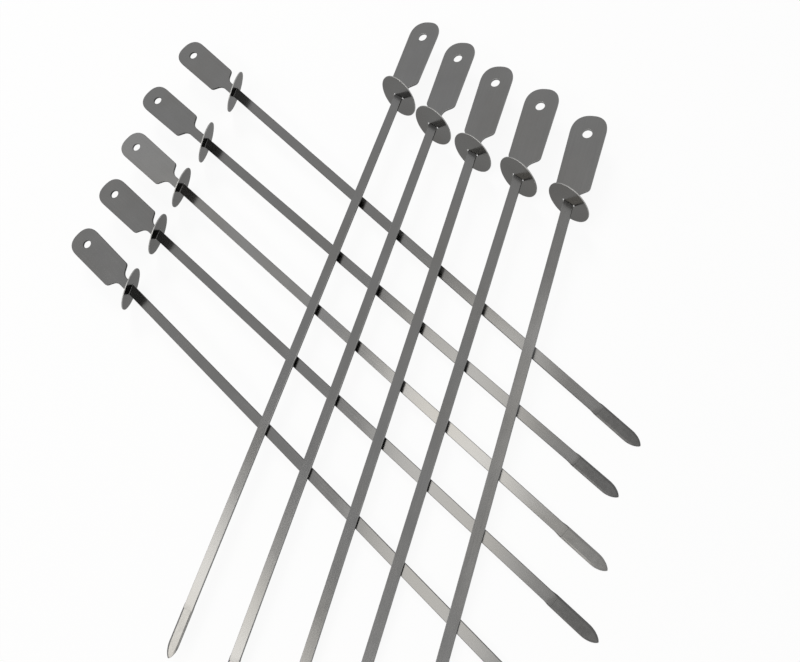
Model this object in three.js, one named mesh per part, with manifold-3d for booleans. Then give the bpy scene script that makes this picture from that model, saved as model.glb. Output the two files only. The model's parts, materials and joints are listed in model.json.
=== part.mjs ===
// Ten flat kebab skewers laid out in two crossing rows, each with a loose round disc on its blade.
// Millimetres, +Z up. The lower row rests on its discs and tips, the upper row on its discs and the lower
// row's blades.

import * as THREE from "three";
import { ConvexGeometry } from "three/addons/geometries/ConvexGeometry.js";
import { mergeVertices } from "three/addons/utils/BufferGeometryUtils.js";
import Module from "manifold-3d";

const wasm = await Module();
wasm.setup();

// Sheet and blade
const sheetThickness = 2;
const bladeWidth = 10;
const bladeLength = 591.5; // from the shoulder corners to the point
const restGapShare = 0.15; // of the sheet's thickness, left wherever one piece rests on another

// Handle
const handleWidth = 32; // across the shoulder corners
const handleExtraWidth = 1.6; // how much wider the handle is where its round end begins
const handleLength = 77.5; // from the round end to the shoulder corners
const handleEndDepth = 18; // depth of the round end
const handleEndPower = 2.4; // 2 is an ellipse, more is squarer
const hangingHoleDiameter = 9;
const hangingHoleInset = 19.5; // from the round end to the hole's centre
const shoulderSlope = THREE.MathUtils.degToRad(58); // from the blade's length
const shoulderCornerRadius = 3;
const neckFilletRadius = 9;

// Lancet tip, pressed thinner and wider than the blade and bevelled to its edge
const tipLength = 47.5;
const pointLength = 12.5;
const pressedExtraWidth = 0.6; // each side
const pressedRun = 4; // length over which the pressed stretch widens
const pressedThickness = 1.6;
const pointThickness = 1;
const edgeThickness = 0.5; // land left at the edge by the bevels
const bevelWidth = 1.6;
const tipLap = 6; // length of tip buried in the blade
const pointPower = 2;
const pointBluntness = 0.72; // less is blunter

// Disc
const discDiameter = 46;
const discThickness = 1;
const slotLength = 13.4; // along the blade's width
const slotHeight = 3.6; // along the sheet's thickness
const slotCornerRadius = 0.8;

// Layout on the table, from the shoulder of the lower row's middle skewer to that of the upper row's
const rowsOffsetWidth = 285.9; // to the right
const rowsOffsetDepth = 197.1; // towards the front
const lowerSpacingWidth = 59.4;
const lowerStepLength = 22.7; // along the blades from one skewer to the next
const upperSpacingWidth = 49.7;
const upperStepLength = 23;
const lowerTurn = -77.8; // degrees from +X
const upperTurn = -143.4;
const upperRoll = THREE.MathUtils.degToRad(7); // how far the upper row's sheets lie tipped sideways

// Each skewer's place in its row, in spacings across and steps along, and its turn off the row's in
// degrees. Its disc's distance from the shoulder is in thirds of the handle's width, and the disc's
// swivel and lean are in degrees.
const discStep = handleWidth / 3;
const lowerShares = [
  { across: 2.067, along: -1.77, turn: -2.4, disc: 2.4, swivel: 28, lean: 28 },
  { across: 0.946, along: -1.245, turn: -0.2, disc: 3.38, swivel: 28, lean: 28 },
  { across: 0, along: 0, turn: 0.4, disc: 2.63, swivel: 23, lean: 28 },
  { across: -0.917, along: 1.197, turn: 1.3, disc: 2.17, swivel: 25, lean: 27 },
  { across: -1.933, along: 2.223, turn: 0.7, disc: 2.39, swivel: 28, lean: 28 },
];
const upperShares = [
  { across: -1.937, along: -1.987, turn: -1.5, disc: 1.57, swivel: -20, lean: -11 },
  { across: -0.977, along: -1.041, turn: -0.6, disc: 2.17, swivel: -20, lean: -9 },
  { across: 0, along: 0, turn: 0.5, disc: 2.08, swivel: -23, lean: -8 },
  { across: 1.024, along: 0.86, turn: 0.3, disc: 1.89, swivel: -27, lean: -7 },
  { across: 2.065, along: 1.846, turn: 1, disc: 1.31, swivel: -27, lean: -4 },
];

// Divisions of the round stretches
const endSteps = 14;
const filletSteps = 8;
const holeSteps = 32;
const discSteps = 56;
const pointSteps = 10;

const steel = { color: 0x8d8d8b, roughness: 0.38, metalness: 0.9 };
const discSteel = { color: 0xa3a3a1, roughness: 0.3, metalness: 0.9 };

const halfBlade = bladeWidth / 2;
const halfHandle = handleWidth / 2;
const tipStart = bladeLength - tipLength;

// One side of the outline from the round end to where the tip is buried, mirrored to close it.
function sheetOutline() {
  const side = [];
  const endX = handleEndDepth - handleLength;
  const endHalf = halfHandle + handleExtraWidth / 2;
  for (let i = 0; i <= endSteps; i++) {
    const a = ((i / endSteps) * Math.PI) / 2;
    const x = endX - handleEndDepth * Math.cos(a) ** (2 / handleEndPower);
    side.push(new THREE.Vector2(x, endHalf * Math.sin(a) ** (2 / handleEndPower)));
  }
  const rest = new THREE.Path();
  const shoulderRun = (halfHandle - halfBlade) / Math.tan(shoulderSlope);
  const filletRun = neckFilletRadius * Math.tan(shoulderSlope / 2);
  const filletX = shoulderRun + filletRun;
  const cornerIn = new THREE.Vector2(-shoulderCornerRadius, halfHandle);
  const cornerOut = new THREE.Vector2(Math.cos(shoulderSlope), -Math.sin(shoulderSlope));
  cornerOut.multiplyScalar(shoulderCornerRadius).add(new THREE.Vector2(0, halfHandle));
  rest.moveTo(cornerIn.x, cornerIn.y);
  rest.quadraticCurveTo(0, halfHandle, cornerOut.x, cornerOut.y);
  rest.absarc(
    filletX,
    halfBlade + neckFilletRadius,
    neckFilletRadius,
    -Math.PI / 2 - shoulderSlope,
    -Math.PI / 2,
    false,
  );
  rest.lineTo(tipStart + tipLap, halfBlade);
  side.push(...rest.getPoints(filletSteps));
  const mirrored = side.slice(1).map((p) => new THREE.Vector2(p.x, -p.y));
  return new THREE.Shape([...side, ...mirrored.reverse()]);
}

function sheetGeometry() {
  const shape = sheetOutline();
  const hole = new THREE.Path();
  hole.absarc(hangingHoleInset - handleLength, 0, hangingHoleDiameter / 2, 0, 2 * Math.PI, false);
  shape.holes.push(hole);
  const sheet = new THREE.ExtrudeGeometry(shape, {
    depth: sheetThickness,
    bevelEnabled: false,
    curveSegments: holeSteps,
  });
  return sheet.translate(0, 0, -sheetThickness / 2);
}

// Half width of the tip at a place along the blade.
function tipHalf(x) {
  const pressed = halfBlade + pressedExtraWidth * Math.min(1, (x - tipStart) / pressedRun);
  const gone = Math.max(0, (x - bladeLength + pointLength) / pointLength);
  return pressed * (1 - gone ** pointPower) ** pointBluntness;
}

// The tip is the convex body between its edge land and its narrower flat faces.
function tipGeometry() {
  const places = [tipStart, tipStart + pressedRun, bladeLength - pointLength];
  for (let i = 1; i <= pointSteps; i++) {
    const gone = Math.sin(((i / pointSteps) * Math.PI) / 2);
    places.push(bladeLength - pointLength + pointLength * gone);
  }
  const points = [];
  const faceShare = 1 - bevelWidth / halfBlade;
  for (const x of places) {
    const gone = (x - tipStart) / tipLength;
    const half = tipHalf(x);
    const face = THREE.MathUtils.lerp(pressedThickness, pointThickness, gone) / 2;
    const faceX = tipStart + gone * (tipLength - bevelWidth);
    for (const side of [1, -1]) {
      for (const up of [1, -1]) {
        points.push(new THREE.Vector3(x, side * half, (up * edgeThickness) / 2));
        points.push(new THREE.Vector3(faceX, side * half * faceShare, up * face));
      }
    }
  }
  return new ConvexGeometry(points);
}

function discGeometry() {
  const shape = new THREE.Shape().absarc(0, 0, discDiameter / 2, 0, 2 * Math.PI, false);
  const slot = new THREE.Path();
  const x = slotHeight / 2;
  const y = slotLength / 2;
  const r = slotCornerRadius;
  slot.absarc(x - r, r - y, r, -Math.PI / 2, 0, false);
  slot.absarc(x - r, y - r, r, 0, Math.PI / 2, false);
  slot.absarc(r - x, y - r, r, Math.PI / 2, Math.PI, false);
  slot.absarc(r - x, r - y, r, Math.PI, 1.5 * Math.PI, false);
  shape.holes.push(new THREE.Path(slot.getPoints(filletSteps)));
  const plate = new THREE.ExtrudeGeometry(shape, {
    depth: discThickness,
    bevelEnabled: false,
    curveSegments: discSteps,
  });
  return plate.translate(0, 0, -discThickness / 2).rotateY(Math.PI / 2);
}

function toSolid(geometry) {
  const bare = geometry.clone();
  bare.deleteAttribute("normal");
  bare.deleteAttribute("uv");
  const merged = mergeVertices(bare);
  return new wasm.Manifold(
    new wasm.Mesh({
      numProp: 3,
      vertProperties: merged.attributes.position.array,
      triVerts: new Uint32Array(merged.index.array),
    }),
  );
}

function toGeometry(solid) {
  const mesh = solid.getMesh();
  const geometry = new THREE.BufferGeometry();
  geometry.setAttribute("position", new THREE.BufferAttribute(mesh.vertProperties, 3));
  geometry.setIndex(new THREE.BufferAttribute(mesh.triVerts, 1));
  geometry.computeVertexNormals();
  return geometry;
}

// A skewer's line in the plan: its shoulder, direction and where its disc stands.
function planOf(share, row) {
  const rowTurn = THREE.MathUtils.degToRad(row.turn);
  const along = new THREE.Vector2(Math.cos(rowTurn), Math.sin(rowTurn));
  const across = new THREE.Vector2(-along.y, along.x);
  const shoulder = new THREE.Vector2(row.x, row.y);
  shoulder.addScaledVector(along, share.along * row.step);
  shoulder.addScaledVector(across, share.across * row.spacing);
  const turn = THREE.MathUtils.degToRad(row.turn + share.turn);
  const lean = THREE.MathUtils.degToRad(share.lean);
  return {
    shoulder,
    turn,
    direction: new THREE.Vector2(Math.cos(turn), Math.sin(turn)),
    disc: share.disc * discStep,
    swivel: THREE.MathUtils.degToRad(share.swivel),
    lean,
    roll: row.roll,
    sag: halfBlade * Math.sin(row.roll), // how far a tipped blade's low edge hangs below its middle
    // a leaning disc standing on its rim holds the blade this high
    discHeight: (discDiameter * Math.cos(lean) + discThickness * Math.abs(Math.sin(lean))) / 2,
  };
}

const fallOf = (rise, run) => rise / Math.sqrt(run * run - rise * rise);

const lowerRow = {
  x: 0,
  y: 0,
  turn: lowerTurn,
  roll: 0,
  spacing: lowerSpacingWidth,
  step: lowerStepLength,
};
const upperRow = {
  x: rowsOffsetWidth,
  y: -rowsOffsetDepth,
  turn: upperTurn,
  roll: upperRoll,
  spacing: upperSpacingWidth,
  step: upperStepLength,
};

// A lower skewer falls from its disc to its point on the table.
const lower = lowerShares.map((share) => {
  const plan = planOf(share, lowerRow);
  const fall = fallOf(plan.discHeight - pointThickness / 2, bladeLength - plan.disc);
  return { ...plan, fall };
});

// Where the edges of two blades cross, as distances along each from its shoulder.
function crossings(a, b) {
  const places = [];
  const turn = a.direction.cross(b.direction);
  for (const sideA of [halfBlade, -halfBlade]) {
    for (const sideB of [halfBlade, -halfBlade]) {
      const startA = new THREE.Vector2(-a.direction.y, a.direction.x).multiplyScalar(sideA).add(a.shoulder);
      const startB = new THREE.Vector2(-b.direction.y, b.direction.x).multiplyScalar(sideB).add(b.shoulder);
      const between = startB.sub(startA);
      places.push({ onA: between.cross(b.direction) / turn, onB: between.cross(a.direction) / turn });
    }
  }
  return places;
}

// An upper skewer falls from its disc until it meets the highest of the lower blades, or the table.
const upper = upperShares.map((share) => {
  const plan = planOf(share, upperRow);
  let fall = fallOf(plan.discHeight - plan.sag - pointThickness / 2, bladeLength - plan.disc);
  for (const under of lower) {
    for (const { onA, onB } of crossings(plan, under)) {
      const reach = onB / Math.hypot(1, under.fall);
      if (onA < plan.disc || onA > bladeLength || reach < 0 || reach > bladeLength) continue;
      const axisUnder = under.discHeight + (under.disc - onB) * under.fall;
      const top = axisUnder + (sheetThickness / 2) * Math.hypot(1, under.fall);
      const below = (sheetThickness / 2 + plan.sag) * Math.hypot(1, fall);
      const clear = top + restGapShare * sheetThickness + below;
      fall = Math.min(fall, (plan.discHeight - clear) / (onA - plan.disc));
    }
  }
  return { ...plan, fall };
});

function named(name, geometry, finish) {
  const mesh = new THREE.Mesh(geometry, new THREE.MeshStandardMaterial(finish));
  mesh.name = name;
  return mesh;
}

const skewerGeometry = toGeometry(toSolid(sheetGeometry()).add(toSolid(tipGeometry())));
const plateGeometry = discGeometry();
const root = new THREE.Group();

for (const [row, skewers] of Object.entries({ lower, upper })) {
  skewers.forEach((skewer, i) => {
    const pitch = Math.atan(skewer.fall);
    const place = new THREE.Vector3(skewer.shoulder.x, skewer.shoulder.y, skewer.discHeight);
    const reach = skewer.disc * Math.cos(pitch);
    place.z += reach * skewer.fall;

    const blade = named("skewer_" + row + "_" + (i + 1), skewerGeometry.clone(), steel);
    blade.rotation.set(skewer.roll, pitch, skewer.turn, "ZYX");
    blade.position.copy(place);
    root.add(blade);

    const disc = named("disc_" + row + "_" + (i + 1), plateGeometry.clone(), discSteel);
    disc.rotation.set(skewer.roll, skewer.lean, skewer.turn + skewer.swivel, "ZYX");
    disc.position.set(
      place.x + reach * skewer.direction.x,
      place.y + reach * skewer.direction.y,
      skewer.discHeight,
    );
    root.add(disc);
  });
}

// The origin is the middle of the part's footprint, on the table.
const extent = new THREE.Box3().setFromObject(root, true);
const footprint = extent.getCenter(new THREE.Vector3()).setZ(extent.min.z);
for (const mesh of root.children) mesh.position.sub(footprint);

export default root;
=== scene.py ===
"""Looks of a set of flat kebab skewers.

Each skewer is a satin steel sheet with rounded punched edges, and each disc a half bright plate.
"""

import json
import math

import bmesh
import bpy
from mathutils import Matrix, Vector


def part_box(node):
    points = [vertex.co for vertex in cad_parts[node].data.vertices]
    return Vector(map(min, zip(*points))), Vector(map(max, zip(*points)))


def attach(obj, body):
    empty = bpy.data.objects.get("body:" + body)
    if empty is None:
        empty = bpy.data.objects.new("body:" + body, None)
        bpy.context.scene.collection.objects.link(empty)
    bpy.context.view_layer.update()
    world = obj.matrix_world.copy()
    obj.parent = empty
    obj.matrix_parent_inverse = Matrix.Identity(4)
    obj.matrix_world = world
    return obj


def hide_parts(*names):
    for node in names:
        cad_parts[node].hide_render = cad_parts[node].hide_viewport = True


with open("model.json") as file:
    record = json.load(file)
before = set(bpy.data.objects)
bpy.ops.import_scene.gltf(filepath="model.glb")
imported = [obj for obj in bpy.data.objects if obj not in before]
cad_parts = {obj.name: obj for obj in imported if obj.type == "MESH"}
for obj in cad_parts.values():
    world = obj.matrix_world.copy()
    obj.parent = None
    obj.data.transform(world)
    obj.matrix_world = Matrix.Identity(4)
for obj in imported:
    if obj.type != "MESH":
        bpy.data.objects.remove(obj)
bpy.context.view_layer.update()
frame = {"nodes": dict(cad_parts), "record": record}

MM = 0.001
UP = Vector((0, 0, 1))
WHITE = (1, 1, 1, 1)

# The set
ROWS = ("lower", "upper")
SKEWERS_IN_ROW = 5
# This skewer's steel is painted lighter all over, a painted highlight for the lamp it mirrors
HIGHLIT_SKEWER = ("lower", 3)

# The photograph's width in pixels, and the place it was taken from
IMAGE_WIDTH = 800
FOCAL_PIXELS = 600
SENSOR_WIDTH = 36
NEAREST_SEEN = 10 * MM
CAMERA_TARGET = (27.8 * MM, -46.7 * MM, 0)
CAMERA_DISTANCE = 573 * MM
CAMERA_ELEVATION = math.radians(68)
CAMERA_ROLL = math.radians(-36)

# The studio's soft grey light, its floor, and how far the floor is seen and mirrored as white
STUDIO_GREY = (0.29, 0.29, 0.289, 1)
FLOOR_GREY = (0.82, 0.82, 0.82, 1)
FLOOR_WHITE = 0.93
FLOOR_REACH = 6
FLOOR_DROP = 0.2 * MM

# Lamps, in metres to the right of and behind the set as the photograph sees it, and above it
WARM_LIGHT = (1.0, 0.97, 0.91)
PLAIN_LIGHT = (1.0, 1.0, 1.0)
LAMPS = (
    {
        "name": "overhead_softbox",
        "place": (-0.11, -0.18, 2.0),
        "target": (-0.11, -0.18, 0),
        "size": (0.62, 1.62),
        "watts": 7.1,
        "turn": math.radians(-10),
        "colour": WARM_LIGHT,
        "mirrored": True,
    },
    {
        "name": "left_softbox",
        "place": (-1.99, -0.92, 2.0),
        "target": (-1.99, -0.92, 0),
        "size": (1.1, 3.2),
        "watts": 44.7,
        "turn": math.radians(34),
        "colour": WARM_LIGHT,
        "mirrored": True,
    },
    {
        "name": "back_floor_lamp",
        "place": (-0.35, 1.9, 1.9),
        "target": (0, 0, 0),
        "size": (0.9, 0.9),
        "watts": 32,
        "turn": 0,
        "colour": PLAIN_LIGHT,
        "mirrored": False,
    },
)

# Edges left by the punch and rounded by tumbling, with finer ones on the pressed tip
SHEET_EDGE = 0.45 * MM
TIP_EDGE = 0.1 * MM
DISC_EDGE = 0.16 * MM
EDGE_STEPS = 2
SHARP_EDGE = math.radians(16)
TIP_LENGTH = 48 * MM

# The low step where the pressed tip begins, which keeps the plain tone without painted edge shade
STEP_BEHIND = 47.5 * MM
STEP_REACH = 2 * MM
STEP_SLOPE = 0.15

# How a copied shape is made whole
WELD = 0.002 * MM
FLAT_TURN = math.radians(0.5)

# How faces are told apart: by area, and by how level they lie in the sheet, from 0 to 1
FLAT_AREA = 20 * MM * MM  # faces from this size on are shaded flat
FLAT_LEVEL = 0.9999  # and so are faces as level as this
WALL_LEVEL = 0.5  # less level faces are cut walls
CUT_LEVEL = 0.7  # and so are rounded edges less level than this
SIDE_TURN = 0.5  # a face that points this far across the blade is a side wall
SIDE_SHIFT = 0.3  # moves the side walls' grain away from the faces'

# Brushing: the map's stretch along and across the blade, and noise as scale, detail, roughness
FINE_STRETCH = (18.0, 2600.0, 1.0)
FINE_NOISE = (1.0, 4.0, 0.6)
FINE_SHARE = 0.6
COARSE_STRETCH = (9.0, 700.0, 1.0)
COARSE_NOISE = (1.0, 2.0, 0.5)
COARSE_SHARE = 0.4
GRAIN_SHADE = 0.24
GRAIN_ROUGHNESS = 0.12
GRAIN_BUMP = 0.12
GRAIN_HEIGHT = 0.02 * MM

# Clouding and warm stains
NOISE_MIDDLE = 0.5
CLOUD_NOISE = (38.0, 4.0, 0.6)
CLOUD_ROUGHNESS = 0.10
STAIN_NOISE = (14.0, 2.0, 0.5)
STAIN_RANGE = (0.38, 0.66)

# Walls and rubbed edges
EDGE_ROUGHNESS = 0.18
RUBBED_NOISE = (90.0, 2.0, 0.6)
RUBBED_RANGE = (0.4, 0.7)
RUBBED_BRIGHTER = 1.5

# The pressed tip's dull surface: where it starts, from one metre behind the point, and its mottle
UNSTRETCHED = (1.0, 1.0, 1.0)
PRESSED_RANGE = (0.9545, 0.9575)
RAGGED_NOISE = (130.0, 2.0, 0.5)
RAGGED_REACH = 12 * MM
MOTTLE_NOISE = (260.0, 4.0, 0.6)
MOTTLE_SHADE = 0.35
DULL_ROUGHNESS = 0.4


class Socket:
    """A node's output that takes part in Python sums."""

    def __init__(self, nodes, output):
        self.nodes = nodes
        self.output = output

    def math(self, operation, left, right):
        return self.nodes.node("ShaderNodeMath", {"operation": operation}, {0: left, 1: right})

    def __add__(self, other):
        return self.math("ADD", self, other)

    def __sub__(self, other):
        return self.math("SUBTRACT", self, other)

    def __rsub__(self, other):
        return self.math("SUBTRACT", other, self)

    def __mul__(self, other):
        return self.math("MULTIPLY", self, other)

    __radd__ = __add__
    __rmul__ = __mul__


class Nodes:
    """The node tree of a material or of the world."""

    def __init__(self, owner):
        owner.use_nodes = True
        self.tree = owner.node_tree
        self.tree.nodes.clear()

    def node(self, kind, settings=None, values=None, out=0):
        made = self.tree.nodes.new(kind)
        for name, value in (settings or {}).items():
            if name == "stops":
                for element, (place, shade) in zip(made.color_ramp.elements, value):
                    element.position = place
                    element.color = (shade, shade, shade, 1)
            else:
                setattr(made, name, value)
        for name, value in (values or {}).items():
            if isinstance(value, Socket):
                self.tree.links.new(value.output, made.inputs[name])
            else:
                made.inputs[name].default_value = value
        return Socket(self, made.outputs[out]) if made.outputs else None

    def grain(self, stretch):
        """The piece's own map, u along the blade and v across it in metres, stretched."""
        spot = self.node("ShaderNodeUVMap", {"uv_map": "grain"})
        return self.node("ShaderNodeMapping", values={"Vector": spot, "Scale": stretch})

    def noise(self, where, scale, detail, roughness):
        values = {"Vector": where, "Scale": scale, "Detail": detail, "Roughness": roughness}
        return self.node("ShaderNodeTexNoise", values=values)

    def ramp(self, value, start, end):
        stops = ((start, 0.0), (end, 1.0))
        return self.node("ShaderNodeValToRGB", {"stops": stops}, {0: value})

    def mix(self, share, first, second):
        """Two colours mixed, on the sockets that a Mix node keeps for colours."""
        values = {0: share, 6: first, 7: second}
        return self.node("ShaderNodeMix", {"data_type": "RGBA"}, values, out=2)

    def marked(self, name):
        """The value that mark_walls and round_edges wrote on each face."""
        return self.node("ShaderNodeAttribute", {"attribute_name": name}, out="Fac")

    def seen(self):
        """1 where the camera, a reflection or a see-through surface looks, and 0 for light."""
        camera, glossy, through = (
            self.node("ShaderNodeLightPath", out="Is %s Ray" % kind)
            for kind in ("Camera", "Glossy", "Transmission")
        )
        return camera + (glossy + through)


def shaded(tone, share):
    return (*(part * share for part in tone), 1)


def steel(name, tone, warm, rough, cloud, wall, rim, pressed=None, edge_on=1.0):
    """Satin stainless sheet with lengthwise brushing, faint clouding and rubbed rounded edges.

    wall, rim and pressed are shares of the tone on cut walls, on rounded edges and on the tip.
    Wall and rim shares below 1 are painted shade, and above 1 on the discs a painted highlight;
    rubbed patches raise the rounded edges by half as wear.
    edge_on is how far the metal brightens where it is seen edge-on.
    """
    material = bpy.data.materials.new(name)
    mat = Nodes(material)
    fine = mat.noise(mat.grain(FINE_STRETCH), *FINE_NOISE)
    coarse = mat.noise(mat.grain(COARSE_STRETCH), *COARSE_NOISE)
    streaks = fine * FINE_SHARE + coarse * COARSE_SHARE
    grain = streaks - NOISE_MIDDLE

    spot = mat.node("ShaderNodeTexCoord", out="Object")
    clouds = mat.noise(spot, *CLOUD_NOISE) - NOISE_MIDDLE
    stain = mat.ramp(mat.noise(spot, *STAIN_NOISE), *STAIN_RANGE)
    base = mat.mix(stain, (*tone, 1), (*warm, 1))
    shade = grain * GRAIN_SHADE + clouds * cloud + 1.0
    roughness = clouds * CLOUD_ROUGHNESS + grain * GRAIN_ROUGHNESS + rough

    if pressed is not None:
        along = mat.node("ShaderNodeSeparateXYZ", values={0: mat.grain(UNSTRETCHED)})
        ragged = (mat.noise(spot, *RAGGED_NOISE) - NOISE_MIDDLE) * RAGGED_REACH + along
        dull = mat.ramp(ragged + 1.0, *PRESSED_RANGE)
        mottle = (mat.noise(spot, *MOTTLE_NOISE) - NOISE_MIDDLE) * MOTTLE_SHADE
        shade = shade * (dull * (mottle + pressed - 1.0) + 1.0)
        roughness = dull * (DULL_ROUGHNESS * (1 - pressed)) + roughness

    colour = mat.node("ShaderNodeVectorMath", {"operation": "SCALE"}, {0: base, "Scale": shade})
    # Cut walls and rounded edges take their own shares of the tone, painted shade or painted
    # highlight, with rubbed patches of wear on the edges
    cut = mat.marked("cut_wall")
    wear_and_painted_light = mat.marked("edge_wear_and_painted_light")
    rubbed = mat.ramp(mat.noise(spot, *RUBBED_NOISE), *RUBBED_RANGE)
    edge = mat.mix(rubbed, shaded(tone, rim), shaded(tone, rim * RUBBED_BRIGHTER))
    colour = mat.mix(wear_and_painted_light, mat.mix(cut, colour, shaded(tone, wall)), edge)

    values = {"Strength": GRAIN_BUMP, "Distance": GRAIN_HEIGHT, "Height": streaks}
    values = {
        "Base Color": colour,
        "Roughness": (cut + wear_and_painted_light) * EDGE_ROUGHNESS + roughness,
        "Metallic": 1.0,
        "Specular Tint": (edge_on, edge_on, edge_on, 1),
        "Normal": mat.node("ShaderNodeBump", values=values),
    }
    surface = mat.node("ShaderNodeBsdfPrincipled", values=values)
    mat.node("ShaderNodeOutputMaterial", values={"Surface": surface})
    return material


def white_floor():
    """A matt floor that shows mostly as plain white, and that takes shadows."""
    material = bpy.data.materials.new("floor_white")
    mat = Nodes(material)
    matt = mat.node("ShaderNodeBsdfDiffuse", values={"Color": FLOOR_GREY})
    glow = mat.node("ShaderNodeEmission", values={"Color": WHITE, "Strength": 1.0})
    values = {0: mat.seen() * FLOOR_WHITE, 1: matt, 2: glow}
    surface = mat.node("ShaderNodeMixShader", values=values)
    mat.node("ShaderNodeOutputMaterial", values={"Surface": surface})
    return material


def blade_axes(row, number):
    """Directions along the blade, across it and out of the sheet, from the disc's slide."""
    joints = {joint["name"]: joint for joint in frame["record"]["behaviour"]["joints"]}
    along = Vector(joints["slide_disc_%s_%d" % (row, number)]["axis"])
    across = UP.cross(along).normalized()
    return along, across, along.cross(across)


def copied_mesh(node):
    """A CAD node's shape with its loose triangles joined and flat faces made whole."""
    mesh = bmesh.new()
    mesh.from_mesh(frame["nodes"][node].data)
    bmesh.ops.remove_doubles(mesh, verts=mesh.verts, dist=WELD)
    bmesh.ops.dissolve_limit(
        mesh, angle_limit=FLAT_TURN, verts=mesh.verts, edges=mesh.edges, delimit={"NORMAL"}
    )
    return mesh


def mark_walls(mesh):
    """Marks the cut walls, which stand up from the largest face, and returns that face's normal."""
    normal = max(mesh.faces, key=lambda face: face.calc_area()).normal.copy()
    wall = mesh.faces.layers.float.new("cut_wall")
    for face in mesh.faces:
        face[wall] = float(abs(face.normal.dot(normal)) < WALL_LEVEL)
    mesh.faces.layers.float.new("edge_wear_and_painted_light")
    return normal


def marks(mesh):
    layers = mesh.faces.layers.float
    return layers["cut_wall"], layers["edge_wear_and_painted_light"]


def round_edges(mesh, width, wanted=lambda edge: True):
    """Rounds the wanted sharp edges, apart from those just made, and marks them for the edge colour
    of wear and painted light.
    """
    wear_and_painted_light = marks(mesh)[1]
    sharp = [
        edge
        for edge in mesh.edges
        if edge.is_manifold
        and edge.calc_face_angle(0) > SHARP_EDGE
        and wanted(edge)
        and not any(face[wear_and_painted_light] for face in edge.link_faces)
    ]
    made = bmesh.ops.bevel(
        mesh,
        geom=sharp,
        offset=width,
        offset_type="OFFSET",
        segments=EDGE_STEPS,
        profile=0.5,
        affect="EDGES",
        material=-1,
    )
    wall, wear_and_painted_light = marks(mesh)
    for face in made["faces"]:
        face[wall] = 0.0
        face[wear_and_painted_light] = 1.0


def shade_faces(mesh, normal):
    """Counts steep rounded edges as cut wall, so they take the walls' painted shade or highlight,
    and shades all but small sloping faces flat.
    """
    mesh.normal_update()
    wall, wear_and_painted_light = marks(mesh)
    for face in mesh.faces:
        level = abs(face.normal.dot(normal))
        if face[wear_and_painted_light] and level < CUT_LEVEL:
            face[wall] = 1.0
            face[wear_and_painted_light] = 0.0
        face.smooth = face.calc_area() < FLAT_AREA and level < FLAT_LEVEL


def clean_step(mesh, point, along):
    """Takes the wall and edge marks, with their painted shade, off the low step behind the point
    where the pressed tip begins.
    """
    wall, wear_and_painted_light = marks(mesh)
    for face in mesh.faces:
        behind = (point - face.calc_center_median()).dot(along)
        slope = abs(face.normal.dot(along))
        if abs(behind - STEP_BEHIND) < STEP_REACH and slope > STEP_SLOPE:
            face[wall] = 0.0
            face[wear_and_painted_light] = 0.0


def map_grain(mesh, origin, along, across):
    """u along the blade and v across it, in metres, on every face."""
    layer = mesh.loops.layers.uv.new("grain")
    for face in mesh.faces:
        shift = SIDE_SHIFT if abs(face.normal.dot(across)) > SIDE_TURN else 0
        for loop in face.loops:
            spot = loop.vert.co - origin
            loop[layer].uv = (spot.dot(along), spot.dot(across) + shift)


def finish_piece(mesh, name, node, material):
    """Makes the mesh a piece that stands for its CAD node and rides on that node's body."""
    data = bpy.data.meshes.new(name)
    mesh.to_mesh(data)
    mesh.free()
    piece = bpy.data.objects.new(name, data)
    bpy.context.scene.collection.objects.link(piece)
    data.materials.append(material)
    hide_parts(node)
    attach(piece, node)


def make_skewer(row, number, material):
    node = "skewer_%s_%d" % (row, number)
    along, across, _ = blade_axes(row, number)
    mesh = copied_mesh(node)
    point = max(mesh.verts, key=lambda vert: vert.co.dot(along)).co.copy()

    def at_tip(edge):
        return all((vert.co - point).dot(along) > -TIP_LENGTH for vert in edge.verts)

    normal = mark_walls(mesh)
    round_edges(mesh, SHEET_EDGE, lambda edge: not at_tip(edge))
    round_edges(mesh, TIP_EDGE, at_tip)
    shade_faces(mesh, normal)
    clean_step(mesh, point, along)
    map_grain(mesh, point, along, across)
    finish_piece(mesh, "sheet_%s_%d" % (row, number), node, material)


def make_disc(row, number, material):
    node = "disc_%s_%d" % (row, number)
    _, across, out = blade_axes(row, number)
    low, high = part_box(node)
    mesh = copied_mesh(node)
    normal = mark_walls(mesh)
    round_edges(mesh, DISC_EDGE)
    shade_faces(mesh, normal)
    map_grain(mesh, (Vector(low) + Vector(high)) / 2, across, out)
    finish_piece(mesh, "plate_%s_%d" % (row, number), node, material)


def place_camera():
    data = bpy.data.cameras.new("camera")
    data.sensor_width = SENSOR_WIDTH
    data.lens = SENSOR_WIDTH * FOCAL_PIXELS / IMAGE_WIDTH
    data.clip_start = NEAREST_SEEN
    camera = bpy.data.objects.new("camera", data)
    bpy.context.scene.collection.objects.link(camera)
    reach = Vector((0, -math.cos(CAMERA_ELEVATION), math.sin(CAMERA_ELEVATION)))
    place = Matrix.Translation(Vector(CAMERA_TARGET) + reach * CAMERA_DISTANCE)
    tilt = Matrix.Rotation(math.pi / 2 - CAMERA_ELEVATION, 4, "X")
    camera.matrix_world = place @ tilt @ Matrix.Rotation(CAMERA_ROLL, 4, "Z")
    bpy.context.scene.camera = camera


def hang_lamp(name, place, target, size, watts, turn, colour, mirrored):
    data = bpy.data.lights.new(name, "AREA")
    data.shape = "RECTANGLE"
    data.size, data.size_y = size
    data.energy = watts
    data.color = colour
    lamp = bpy.data.objects.new(name, data)
    bpy.context.scene.collection.objects.link(lamp)
    lamp.visible_glossy = mirrored
    studio = Matrix.Rotation(CAMERA_ROLL, 3, "Z")
    start, end = studio @ Vector(place), studio @ Vector(target)
    aim = (end - start).to_track_quat("-Z", "Y").to_matrix().to_4x4()
    spin = Matrix.Rotation(CAMERA_ROLL + turn, 4, "Z")
    lamp.matrix_world = Matrix.Translation(start) @ aim @ spin


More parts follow.
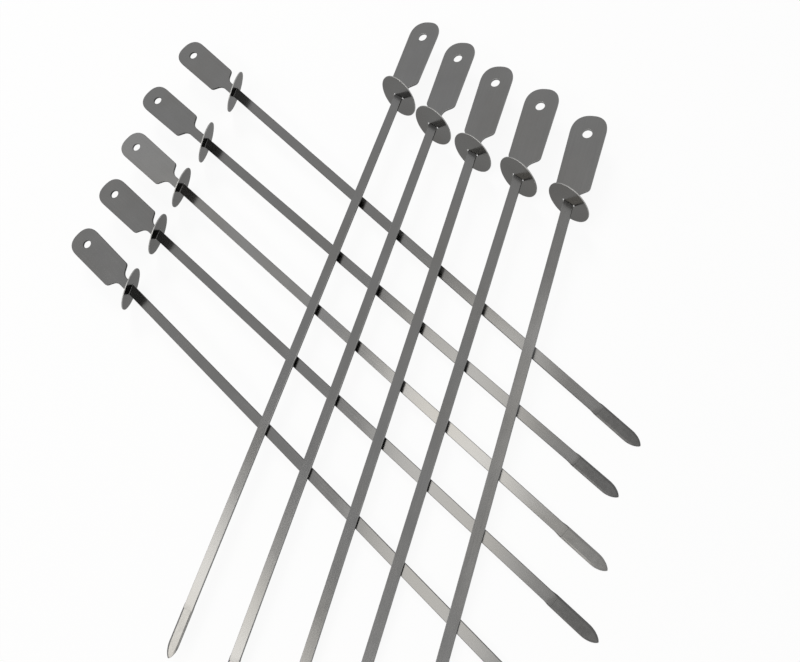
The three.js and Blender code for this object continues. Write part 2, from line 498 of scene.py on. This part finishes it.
def light_studio():
    """Soft grey light from all round, which the camera and the metal see as white, and lamps."""
    world = bpy.data.worlds.new("studio")
    bpy.context.scene.world = world
    sky = Nodes(world)
    soft = sky.node("ShaderNodeBackground", values={"Color": STUDIO_GREY})
    white = sky.node("ShaderNodeBackground", values={"Color": WHITE})
    surface = sky.node("ShaderNodeMixShader", values={0: sky.seen(), 1: soft, 2: white})
    sky.node("ShaderNodeOutputWorld", values={"Surface": surface})
    for lamp in LAMPS:
        hang_lamp(**lamp)


def lay_floor():
    mesh = bmesh.new()
    drop = Matrix.Translation((0, 0, -FLOOR_DROP))
    bmesh.ops.create_grid(mesh, x_segments=1, y_segments=1, size=FLOOR_REACH, matrix=drop)
    data = bpy.data.meshes.new("floor")
    mesh.to_mesh(data)
    mesh.free()
    floor = bpy.data.objects.new("floor", data)
    bpy.context.scene.collection.objects.link(floor)
    data.materials.append(white_floor())


SATIN = {"tone": (0.162, 0.1615, 0.1605), "warm": (0.156, 0.154, 0.150), "rough": 0.20}
# Lower row: cut walls and rounded edges painted darker, as painted shade along the sheets' sides;
# the upper row keeps the plain tone there
PAINTED_SHADE_EDGES = {"wall": 0.29, "rim": 0.4}
UNSHADED_EDGES = {"wall": 1.0, "rim": 1.0}
lower_steel = steel("satin_steel", cloud=0.16, pressed=0.6, **SATIN, **PAINTED_SHADE_EDGES)
upper_steel = steel("satin_steel_clean_tip", cloud=0.16, pressed=0.95, **SATIN, **UNSHADED_EDGES)
# A lighter copy of the satin steel: painted highlight, standing in for a lamp's reflection along
# one skewer
highlit_steel = steel(
    "highlit_satin_steel",
    tone=(0.22, 0.2185, 0.216),
    warm=(0.212, 0.208, 0.20),
    rough=0.20,
    cloud=0.18,
    pressed=0.88,
    **PAINTED_SHADE_EDGES,
)
# Disc walls and rounded edges are painted over twice as bright as the tone, a painted highlight
# along the rims
disc_steel = steel(
    "half_bright_steel",
    tone=(0.15, 0.149, 0.146),
    warm=(0.142, 0.139, 0.134),
    rough=0.18,
    cloud=0.14,
    wall=2.2,
    rim=2.4,
    edge_on=0.5,
)
row_steel = {"lower": lower_steel, "upper": upper_steel}

for row in ROWS:
    for number in range(1, SKEWERS_IN_ROW + 1):
        highlit = (row, number) == HIGHLIT_SKEWER
        make_skewer(row, number, highlit_steel if highlit else row_steel[row])
        make_disc(row, number, disc_steel)

place_camera()
light_studio()
lay_floor()
bpy.context.scene.view_settings.view_transform = "Standard"
